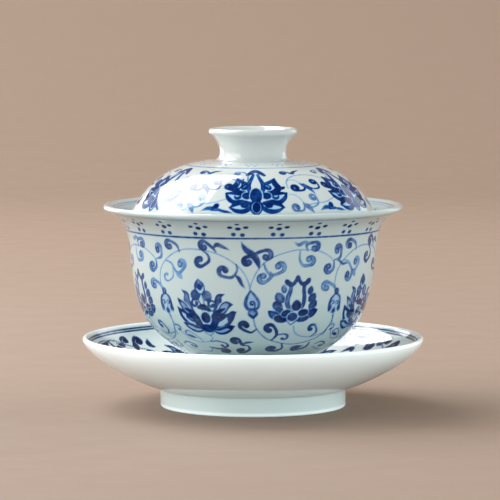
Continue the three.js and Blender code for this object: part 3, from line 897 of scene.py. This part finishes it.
def new_material(name):
    """An empty node material, with its tree and the place on the object that its noises read."""
    material = bpy.data.materials.new(name)
    material.use_nodes = True
    tree = material.node_tree
    tree.nodes.clear()
    return material, tree, node(tree, "ShaderNodeTexCoord").outputs["Object"]


def finish_material(tree, tint, roughness, normal, **inputs):
    """The surface itself, from its colour, roughness and normal and the values that are even all over."""
    shader = node(tree, "ShaderNodeBsdfPrincipled", **inputs)
    feed(tree, shader.inputs["Base Color"], tint)
    feed(tree, shader.inputs["Roughness"], roughness)
    feed(tree, shader.inputs["Normal"], normal)
    output = node(tree, "ShaderNodeOutputMaterial")
    feed(tree, output.inputs["Surface"], shader.outputs["BSDF"])


def painted_porcelain(name, look, glaze, cobalt_shift):
    """Glazed porcelain with cobalt under the glaze, and bare clay where the foot stands."""
    material, tree, where = new_material(name)
    pigment, shade, bare, pool = (attribute(tree, key) for key in LAYERS)

    # brush pressure, the grain of the cobalt and its drift between greyish and clear
    depth = arithmetic(tree, "MULTIPLY", pigment, noise(tree, where, 420.0, 3.0, 0.80, 1.14))
    depth = arithmetic(tree, "MULTIPLY", depth, noise(tree, where, 2400.0, 2.0, 0.95, 1.04), True)
    kind = arithmetic(tree, "ADD", shade, noise(tree, where, 130.0, 2.0, -0.12, 0.12))
    kind = arithmetic(tree, "ADD", kind, cobalt_shift, True)
    blues = []
    for blue in ("indigo", "cobalt"):
        tints = [glaze] + [getattr(look, f"{step}_{blue}") for step in ("wash", "mid", "deep", "dark")]
        blues.append(ramp(tree, depth, list(zip((0.0, 0.30, 0.62, 0.84, 1.0), tints))))
    painted = mix(tree, kind, *blues)

    # the glaze: faint clouds, and a darker green tint where it pools, which is also painted shade in
    # recesses and low on the bodies
    cloud = noise(tree, where, 38.0, 3.0, 0.0, 1.0)
    tinted = mix(tree, cloud, (0.955, 0.975, 0.965), (1.0, 1.0, 0.995))
    painted = mix(tree, 1.0, painted, tinted, "MULTIPLY")
    pool_and_shade_amount = arithmetic(tree, "MULTIPLY", pool, 0.75)
    shaded = mix(tree, 1.0, painted, look.pooled_glaze, "MULTIPLY")
    painted = mix(tree, pool_and_shade_amount, painted, shaded)
    grain = noise(tree, where, 900.0, 4.0, 0.0, 1.0)
    clay = mix(tree, grain, look.clay, tuple(0.86 * v for v in look.clay))

    # polish: nearly even, a little duller over heavy cobalt, and rough on bare clay
    gloss = arithmetic(tree, "MULTIPLY", noise(tree, where, 260.0, 3.0, 0.75, 1.25), look.roughness)
    gloss = arithmetic(tree, "ADD", gloss, arithmetic(tree, "MULTIPLY", depth, 0.02))
    gloss = arithmetic(tree, "ADD", gloss, arithmetic(tree, "MULTIPLY", bare, 0.62), True)

    # the throwing and the glaze leave a very slight unevenness, and bare clay is gritty
    normal = bump(tree, noise(tree, where, 55.0, 1.0), 0.0009, 0.35)
    normal = bump(tree, noise(tree, where, 520.0, 1.0), 0.00006, 0.12, normal)
    normal = bump(tree, grain, 0.00025, bare, normal)
    finish_material(
        tree, mix(tree, bare, painted, clay), gloss, normal, IOR=1.5, Specular_IOR_Level=0.34,
        Subsurface_Weight=0.05, Subsurface_Radius=(1.0, 0.9, 0.8), Subsurface_Scale=0.0007,
        Coat_Weight=0.2, Coat_Roughness=0.04, Coat_IOR=1.5,
    )
    return material


def paper_material(name, tint):
    """Matt paper with a faint cloud and grain."""
    material, tree, where = new_material(name)
    tone = mix(tree, noise(tree, where, 3.0, 3.0, 0.0, 1.0), tint, tuple(0.985 * v for v in tint))
    rough = noise(tree, where, 60.0, 2.0, 0.7, 0.85)
    grain = bump(tree, noise(tree, where, 900.0, 2.0), 0.0002, 0.03)
    finish_material(tree, tone, rough, grain, Specular_IOR_Level=0.15)
    return material


# ---------- sizes and colours that a user may change ----------


def length(name, description, default):
    return bpy.props.FloatProperty(
        name=name, description=description, default=default * MM, min=0.0, precision=5, unit="LENGTH",
        subtype="DISTANCE",
    )


def colour(name, description, default):
    return bpy.props.FloatVectorProperty(
        name=name, description=description, default=default, min=0.0, max=1.0, size=3, subtype="COLOR"
    )


def number(name, description, default, **limits):
    return bpy.props.FloatProperty(name=name, description=description, default=default, **limits)


class GaiwanSaucerSizes(bpy.types.PropertyGroup):
    """Sizes of the saucer."""

    rim_radius: length("Rim radius", "Where the outside of the dish meets its rim", 57.0)
    rim_height: length("Rim height", "Height of the dish at its rim", 22.3)
    rim_round: length("Rim rounding", "Radius of the rounded rim", 0.9)
    foot_radius: length("Foot radius", "Outside of the foot ring", 31.1)
    foot_width: length("Foot width", "Thickness of the foot ring", 3.3)
    well_radius: length("Well radius", "The shallow well that holds the bowl", 21.6)
    well_floor: length("Well floor", "Height of the well's floor", 8.2)


class GaiwanBowlSizes(bpy.types.PropertyGroup):
    """Sizes of the bowl."""

    lip_radius: length("Lip radius", "Where the outside of the bowl meets its lip", 49.35)
    lip_height: length("Lip height", "Height of the lip above the table", 66.0)
    lip_round: length("Lip rounding", "Radius of the rounded lip", 0.95)
    waist_radius: length("Waist radius", "Outside of the upright part of the wall", 41.0)
    waist_height: length("Waist height", "Height of the upright part of the wall", 50.0)
    wall: length("Wall", "Thickness of the wall at the waist", 2.5)
    foot_radius: length("Foot radius", "Outside of the foot ring", 20.4)
    foot_width: length("Foot width", "Thickness of the foot ring", 2.8)


class GaiwanLidSizes(bpy.types.PropertyGroup):
    """Sizes of the lid."""

    edge_radius: length("Edge radius", "Where the dome meets its lower edge", 41.34)
    edge_height: length("Edge height", "Height of the dome's lower edge", 64.1)
    edge_round: length("Edge rounding", "Radius of the rounded edge", 1.1)
    knob_radius: length("Knob radius", "Where the neck of the knob meets its rim", 14.4)
    knob_height: length("Knob height", "Height of the knob ring", 91.2)
    knob_round: length("Knob rounding", "Radius of the knob's rounded rim", 1.1)
    cup_radius: length("Cup radius", "Inside of the knob ring", 8.8)


class GaiwanLook(bpy.types.PropertyGroup):
    """Colours of the glaze, in copies darkened or lightened as painted shade and light, and of the cobalt
    under it.
    """

    # one porcelain glaze in three copies: the bowl's and the lid's darkened as painted shade, the saucer's
    # lightened as painted light
    glaze: colour("Glaze", "White of the bowl", (0.445, 0.525, 0.530))
    lid_glaze: colour("Lid glaze", "White of the lid", (0.500, 0.530, 0.525))
    plain_glaze: colour("Plain glaze", "White of the saucer", (0.90, 0.985, 1.0))
    # tint of pooled glaze, also used for painted shade
    pooled_glaze: colour("Pooled glaze", "Tint of the glaze where it lies thick", (0.58, 0.64, 0.62))
    clay: colour("Bare clay", "Unglazed clay where a foot stands", (0.74, 0.66, 0.56))
    wash_indigo: colour("Wash, indigo", "Thin greyish cobalt", (0.23, 0.35, 0.51))
    mid_indigo: colour("Middle, indigo", "Greyish cobalt", (0.018, 0.052, 0.160))
    deep_indigo: colour("Deep, indigo", "Heavy greyish cobalt", (0.003, 0.019, 0.100))
    dark_indigo: colour("Darkest, indigo", "Heaped greyish cobalt", (0.001, 0.009, 0.056))
    wash_cobalt: colour("Wash, cobalt", "Thin clear cobalt", (0.17, 0.36, 0.60))
    mid_cobalt: colour("Middle, cobalt", "Clear cobalt", (0.010, 0.068, 0.245))
    deep_cobalt: colour("Deep, cobalt", "Heavy clear cobalt", (0.0005, 0.020, 0.125))
    dark_cobalt: colour("Darkest, cobalt", "Heaped clear cobalt", (0.0002, 0.011, 0.075))
    roughness: number("Roughness", "Roughness of the glaze", 0.075, min=0.0, max=1.0, subtype="FACTOR")


class GaiwanStageLook(bpy.types.PropertyGroup):
    """The table and the light."""

    floor: colour("Table", "Colour of the table and the backdrop", (0.276, 0.202, 0.159))
    key: number("Key light", "Power of the large left light, in watts", 35.0, min=0.0, unit="POWER")
    top: number("Top light", "Power of the light overhead, in watts", 24.0, min=0.0, unit="POWER")
    fill: number("Fill light", "Power of the front light, in watts", 12.5, min=0.0, unit="POWER")
    sky: number("Room light", "Strength of the light all round", 0.30, min=0.0)


# ---------- pieces ----------


def fresh(name):
    """Clears an earlier piece of the same name."""
    old = bpy.data.objects.get(name)
    if old is not None:
        bpy.data.objects.remove(old, do_unlink=True)


def in_mm(settings, *names):
    """Sizes from a property group, in millimetres."""
    return [getattr(settings, name) / MM for name in names]


def place(body, node_name, glaze, cobalt_shift):
    """Makes the piece in its copy of the glaze, lightened or darkened as painted light and shade, and lets
    it stand for the CAD node of that name.
    """
    piece_name = f"{node_name}_piece"
    fresh(piece_name)
    look = bpy.context.scene.gaiwan_look
    material = painted_porcelain(f"{node_name}_glaze", look, getattr(look, glaze), cobalt_shift)
    made = body.mesh_object(piece_name, material)
    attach(made, node_name)
    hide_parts(node_name)


def feather(body, name, lowest, highest, key, strength=1.0):
    """Fills an attribute on the rows of one name, fading upwards from one height to another."""
    rows = body.rows_named(name)
    height = body.rows[rows, 1]
    amount = np.clip((highest - height) / max(0.05, highest - lowest), 0.0, 1.0) * strength
    getattr(body, key)[rows] = np.maximum(getattr(body, key)[rows], amount[:, None])


def bare_foot(body, stand):
    """Leaves the foot unglazed where it stands."""
    feather(body, "stand", stand - 1.0, stand + 0.2, "bare", 6.0)
    np.clip(body.bare, 0.0, 1.0, out=body.bare)


class GAIWAN_OT_make_saucer(bpy.types.Operator):
    """Makes the saucer: a dish on a foot ring, with a shallow well for the bowl"""

    bl_idname = "gaiwan.make_saucer"
    bl_label = "Make Saucer"

    def execute(self, context):
        size = context.scene.gaiwan_saucer
        foot, width, well, floor = in_mm(size, "foot_radius", "foot_width", "well_radius", "well_floor")
        rim, slope = spot_at(*in_mm(size, "rim_radius", "rim_height")), spot_at(2.5, 7.0)
        underside, foot_edge, foot_top, crease, well_depth = 5.2, 0.9, 5.7, 6.3, 1.3
        start = spot_at(foot + 0.6, 6.45)
        outer_handle, inner_handle = spot_at(36.2, 7.4), spot_at(36.5, 9.7)
        edge = rounded_edge(rim, slope, size.rim_round / MM)
        brink = spot_at(well + 1.8, floor + well_depth)
        brink_corner = spot_at(well + 0.6, floor + well_depth)
        sections = foot_ring(underside, 0.0, foot, width, foot_edge)
        sections += [
            ("outside", straight(spot_at(foot, foot_edge), spot_at(foot, foot_top)), 0.8),
            ("outside", corner_curve(spot_at(foot, foot_top), spot_at(foot, crease), start), 0.25),
            ("outside", long_curve(start, outer_handle, rim - slope, rim), 1.0),
            ("rim", edge, 0.25),
            ("inside", long_curve(edge[-1], edge[-1] - slope, inner_handle, brink), 0.45),
            ("well", corner_curve(brink, brink_corner, spot_at(well, floor)), 0.3),
            ("well", straight(spot_at(well, floor), spot_at(well - 3.0, floor)), 1.0),
        ]
        body = Turned(sections, SAUCER_COLUMNS)
        paint_dish(body)
        bare_foot(body, 0.0)
        # painted shade with pooled glaze: darker in the recess under the base, low on the outside by the
        # foot, in the well under the bowl and over the whole dish
        feather(body, "cove", 2.0, 5.4, "pool")
        feather(body, "outside", 5.6, 9.0, "pool", 1.1)
        body.pool[body.rows_named("well")] = 0.35
        body.pool[body.rows_named("inside")] = 0.5
        # the saucer in the lightened copy of the glaze, as painted light
        place(body, "saucer", "plain_glaze", 0.0)
        return {"FINISHED"}


class GAIWAN_OT_make_bowl(bpy.types.Operator):
    """Makes the bowl: a rounded body, an upright waist and a flared lip, on a foot ring"""

    bl_idname = "gaiwan.make_bowl"
    bl_label = "Make Bowl"

    def execute(self, context):
        size = context.scene.gaiwan_bowl
        foot, width, wall = in_mm(size, "foot_radius", "foot_width", "wall")
        lip, slope = spot_at(*in_mm(size, "lip_radius", "lip_height")), spot_at(7.25, 2.6)
        waist, inward = spot_at(*in_mm(size, "waist_radius", "waist_height")), spot_at(-wall, 0.0)
        stand = context.scene.gaiwan_saucer.well_floor / MM + SEAT_GAP
        underside, foot_edge, foot_top, crease = 16.0, 0.7, 16.4, 17.2
        start, above = spot_at(foot + 0.9, 17.6), waist + spot_at(0.7, 8.3)
        edge = rounded_edge(lip, slope, size.lip_round / MM)
        flare = long_curve(waist, above, lip - slope, lip)
        belly = long_curve(start, spot_at(34.9, 24.9), spot_at(39.1, 30.6), waist)
        throat = long_curve(edge[-1], edge[-1] - spot_at(8.8, 2.9), above + inward, waist + inward)
        hollow = long_curve(waist + inward, spot_at(36.8, 32.0), spot_at(31.5, 21.0), spot_at(10.0, 19.4))
        painted = 190       # points of the throat that carry painting
        sections = foot_ring(underside, stand, foot, width, foot_edge)
        sections += [
            ("neck", straight(spot_at(foot, stand + foot_edge), spot_at(foot, foot_top)), 0.8),
            ("neck", corner_curve(spot_at(foot, foot_top), spot_at(foot, crease), start), 0.25),
            ("outside", np.vstack((belly, flare[1:])), 0.315),
            ("rim", edge, 0.25),
            ("inside", throat[:painted], 0.35),
            ("hollow", np.vstack((throat[painted - 1 :], hollow[1:])), 1.8),
        ]
        body = Turned(sections, COLUMNS)
        paint_bowl(body)
        bare_foot(body, stand)
        # painted shade with pooled glaze: darker in the recess under the base, on the foot's outer wall,
        # and over the lower body, fading out upwards
        feather(body, "cove", 12.0, 16.2, "pool")
        feather(body, "neck", 15.0, 18.2, "pool", 0.6)
        feather(body, "outside", 15.0, 38.0, "pool", 0.9)
        # the bowl in a darkened copy of the glaze, as painted shade
        place(body, "bowl", "glaze", 0.05)
        return {"FINISHED"}


class GAIWAN_OT_make_lid(bpy.types.Operator):
    """Makes the lid: a dome that sits inside the bowl's lip, with a knob ring thrown on top"""

    bl_idname = "gaiwan.make_lid"
    bl_label = "Make Lid"

    def execute(self, context):
        size = context.scene.gaiwan_lid
        edge_round, cup = in_mm(size, "edge_round", "cup_radius")
        edge_at, slope = spot_at(*in_mm(size, "edge_radius", "edge_height")), spot_at(6.9, -13.9)
        knob, lean = spot_at(*in_mm(size, "knob_radius", "knob_height")), spot_at(4.4, 3.3)
        cup_floor, cove = 83.6, 1.5
        crown, ceiling = spot_at(12.6, 82.65), spot_at(9.0, 79.9)
        left = spot_at(-slope[1], slope[0]) / np.hypot(*slope)
        inside_edge = edge_at - left * 2 * edge_round
        rim = rounded_edge(knob, lean, size.knob_round / MM)
        under = long_curve(ceiling, spot_at(22.5, 79.7), spot_at(33.2, 76.0), inside_edge)
        dome = long_curve(edge_at, edge_at - slope, spot_at(24.6, 81.8), crown)
        neck = long_curve(crown, spot_at(10.7, 83.0), knob - lean, knob)
        cup_top, cup_foot = spot_at(cup, cup_floor + 5.4), spot_at(cup, cup_floor + cove)
        sections = [
            ("under", straight(ceiling - spot_at(1.0, 0.0), ceiling), 1.0),
            ("under", under, 1.6),
            ("edge", rounded_edge(inside_edge, slope, edge_round), 0.25),
            ("outside", dome, 0.32),
            ("neck", neck, 0.5),
            ("rim", rim, 0.25),
            ("cup", long_curve(rim[-1], rim[-1] - lean * 0.8, cup_top, cup_foot), 0.8),
            ("cup", corner_curve(cup_foot, spot_at(cup, cup_floor), spot_at(cup - cove, cup_floor)), 0.3),
        ]
        body = Turned(sections, COLUMNS)
        paint_lid(body)
        # painted shade with pooled glaze: darker in the knob's hollow and at the foot of its neck
        feather(body, "cup", cup_floor - 0.5, cup_floor + 3.0, "pool", 0.8)
        feather(body, "neck", 82.0, 84.6, "pool", 0.5)
        # the lid in a darkened copy of the glaze, as painted shade
        place(body, "lid", "lid_glaze", 0.1)
        return {"FINISHED"}


# ---------- stage ----------

CAMERA_PLACE = (-0.001, -1.139, 0.1501)
CAMERA_AIM = (-0.001, 0.0, 0.05233)
CAMERA_LENS = 246.2


BOTH, LIT_ONLY, MIRRORED_ONLY = range(3)       # whether a lamp lights surfaces, shows in them, or both


def area_light(name, place_at, aim, wide, high, power, tint, acts=BOTH):
    """A soft light, which can be kept out of reflections, or made to show in nothing else."""
    fresh(name)
    data = bpy.data.lights.new(name, "AREA")
    data.shape = "RECTANGLE"
    data.size = wide
    data.size_y = high
    data.energy = power
    data.color = tint
    lamp = bpy.data.objects.new(name, data)
    lamp.location = place_at
    lamp.visible_glossy = acts != LIT_ONLY
    lamp.visible_diffuse = acts != MIRRORED_ONLY
    lamp.rotation_euler = (Vector(aim) - Vector(place_at)).to_track_quat("-Z", "Y").to_euler()
    bpy.context.scene.collection.objects.link(lamp)


def seamless_paper(name, material):
    """A table that sweeps up behind the object into a backdrop."""
    half_width, front, back, height, bend = 2.2, -2.4, 1.7, 2.0, 0.7
    profile = [(front, 0.0), (back - bend, 0.0)]
    steps = 24
    for k in range(1, steps + 1):
        turn = math.pi / 2 * k / steps
        profile.append((back - bend + bend * math.sin(turn), bend - bend * math.cos(turn)))
    profile.append((back, height))
    vertices = [(x, y, z) for y, z in profile for x in (-half_width, half_width)]
    faces = [(2 * k, 2 * k + 1, 2 * k + 3, 2 * k + 2) for k in range(len(profile) - 1)]
    mesh = bpy.data.meshes.new(name)
    mesh.from_pydata(vertices, [], faces)
    mesh.shade_smooth()
    mesh.materials.append(material)
    made = bpy.data.objects.new(name, mesh)
    bpy.context.scene.collection.objects.link(made)
    return made


def light_the_stage(look):
    """The soft lamps and cards round the table."""
    middle, plain = (0.0, 0.0, 0.05), (1.0, 1.0, 1.0)
    rim_card = (middle, 0.5, 0.8, look.fill * 0.15, (0.95, 1.0, 1.0))
    lamps = (
        ("left_softbox", (-1.5, -0.3, 0.72), middle, 2.0, 1.3, look.key, (1.0, 0.995, 0.985)),
        ("top_softbox", (-0.78, 0.55, 1.18), middle, 1.4, 1.2, look.top, (1.0, 0.995, 0.99), LIT_ONLY),
        ("front_softbox", (0.15, -1.5, 0.10), middle, 1.1, 0.25, look.fill, (0.90, 0.985, 1.0), LIT_ONLY),
        ("window_glow", (-0.80, 0.52, 1.16), middle, 1.25, 1.05, look.top * 2.1, plain, MIRRORED_ONLY),
        ("flank_glow", (-0.30, 0.34, 0.09), (-0.03, 0.0, 0.05), 0.26, 0.18, 0.45, plain, MIRRORED_ONLY),
        ("right_card", (1.1, -0.2, 0.35), middle, 0.5, 0.7, look.fill * 0.6, (0.92, 0.99, 1.0), LIT_ONLY),
        (
            "floor_card", (1.2, 0.75, 0.8), (0.25, -0.05, 0.0), 0.7, 0.7, look.fill * 0.5,
            (1.0, 0.98, 0.94), LIT_ONLY,
        ),
        ("left_rim_card", (-0.85, 0.85, 0.35), *rim_card),
        ("right_rim_card", (0.85, 0.85, 0.35), *rim_card),
        (
            "backdrop_light", (0.0, 0.6, 1.9), (0.0, 1.5, 0.6), 2.4, 0.5, look.top * 0.42,
            (1.0, 0.88, 0.66), LIT_ONLY,
        ),
    )
    for lamp in lamps:
        area_light(*lamp)


def light_the_room(look):
    """An even light all round, much dimmer in reflections."""
    world = bpy.data.worlds.new("soft_room")
    world.use_nodes = True
    tree = world.node_tree
    background = tree.nodes["Background"]
    background.inputs["Color"].default_value = (0.88, 0.97, 1.0, 1.0)
    mirrored = node(tree, "ShaderNodeLightPath").outputs["Is Glossy Ray"]
    dimmed = arithmetic(tree, "MULTIPLY", mirrored, 0.75 * look.sky)
    feed(tree, background.inputs["Strength"], arithmetic(tree, "SUBTRACT", look.sky, dimmed))
    bpy.context.scene.world = world


def set_the_camera():
    data = bpy.data.cameras.new("gaiwan_camera")
    data.lens = CAMERA_LENS
    data.sensor_width = 36.0
    data.clip_end = 20.0
    camera = bpy.data.objects.new("gaiwan_camera", data)
    camera.location = CAMERA_PLACE
    aim = Vector(CAMERA_AIM) - Vector(CAMERA_PLACE)
    camera.rotation_euler = aim.to_track_quat("-Z", "Y").to_euler()
    bpy.context.scene.collection.objects.link(camera)
    bpy.context.scene.camera = camera


class GAIWAN_OT_make_stage(bpy.types.Operator):
    """Makes the table, the soft lights and the camera"""

    bl_idname = "gaiwan.make_stage"
    bl_label = "Make Stage"

    def execute(self, context):
        look = context.scene.gaiwan_stage
        for name in ("table", "gaiwan_camera"):
            fresh(name)
        seamless_paper("table", paper_material("table_paper", look.floor))
        light_the_stage(look)
        light_the_room(look)
        context.scene.view_settings.view_transform = "Standard"
        set_the_camera()
        return {"FINISHED"}


class GAIWAN_PT_panel(bpy.types.Panel):
    """Lists what this add-on makes."""

    bl_idname = "GAIWAN_PT_panel"
    bl_label = "Gaiwan"
    bl_space_type = "VIEW_3D"
    bl_region_type = "UI"
    bl_category = "Gaiwan"

    def draw(self, context):
        layout = self.layout
        scene = context.scene
        for operator, group in PANEL_ROWS:
            box = layout.box()
            box.operator(operator)
            settings = getattr(scene, group)
            for key in settings.__annotations__:
                box.prop(settings, key)
        box = layout.box()
        for key in scene.gaiwan_look.__annotations__:
            box.prop(scene.gaiwan_look, key)


PANEL_ROWS = (
    ("gaiwan.make_saucer", "gaiwan_saucer"),
    ("gaiwan.make_bowl", "gaiwan_bowl"),
    ("gaiwan.make_lid", "gaiwan_lid"),
    ("gaiwan.make_stage", "gaiwan_stage"),
)
GROUPS = (
    ("gaiwan_saucer", GaiwanSaucerSizes),
    ("gaiwan_bowl", GaiwanBowlSizes),
    ("gaiwan_lid", GaiwanLidSizes),
    ("gaiwan_look", GaiwanLook),
    ("gaiwan_stage", GaiwanStageLook),
)
CLASSES = (
    GAIWAN_OT_make_saucer,
    GAIWAN_OT_make_bowl,
    GAIWAN_OT_make_lid,
    GAIWAN_OT_make_stage,
    GAIWAN_PT_panel,
)


def register():
    for name, group in GROUPS:
        bpy.utils.register_class(group)
        setattr(bpy.types.Scene, name, bpy.props.PointerProperty(type=group))
    for kind in CLASSES:
        bpy.utils.register_class(kind)


def unregister():
    for kind in reversed(CLASSES):
        bpy.utils.unregister_class(kind)
    for name, group in reversed(GROUPS):
        delattr(bpy.types.Scene, name)
        bpy.utils.unregister_class(group)


def main():
    register()
    bpy.ops.gaiwan.make_stage()
    bpy.ops.gaiwan.make_saucer()
    bpy.ops.gaiwan.make_bowl()
    bpy.ops.gaiwan.make_lid()


if __name__ == "__main__":
    main()
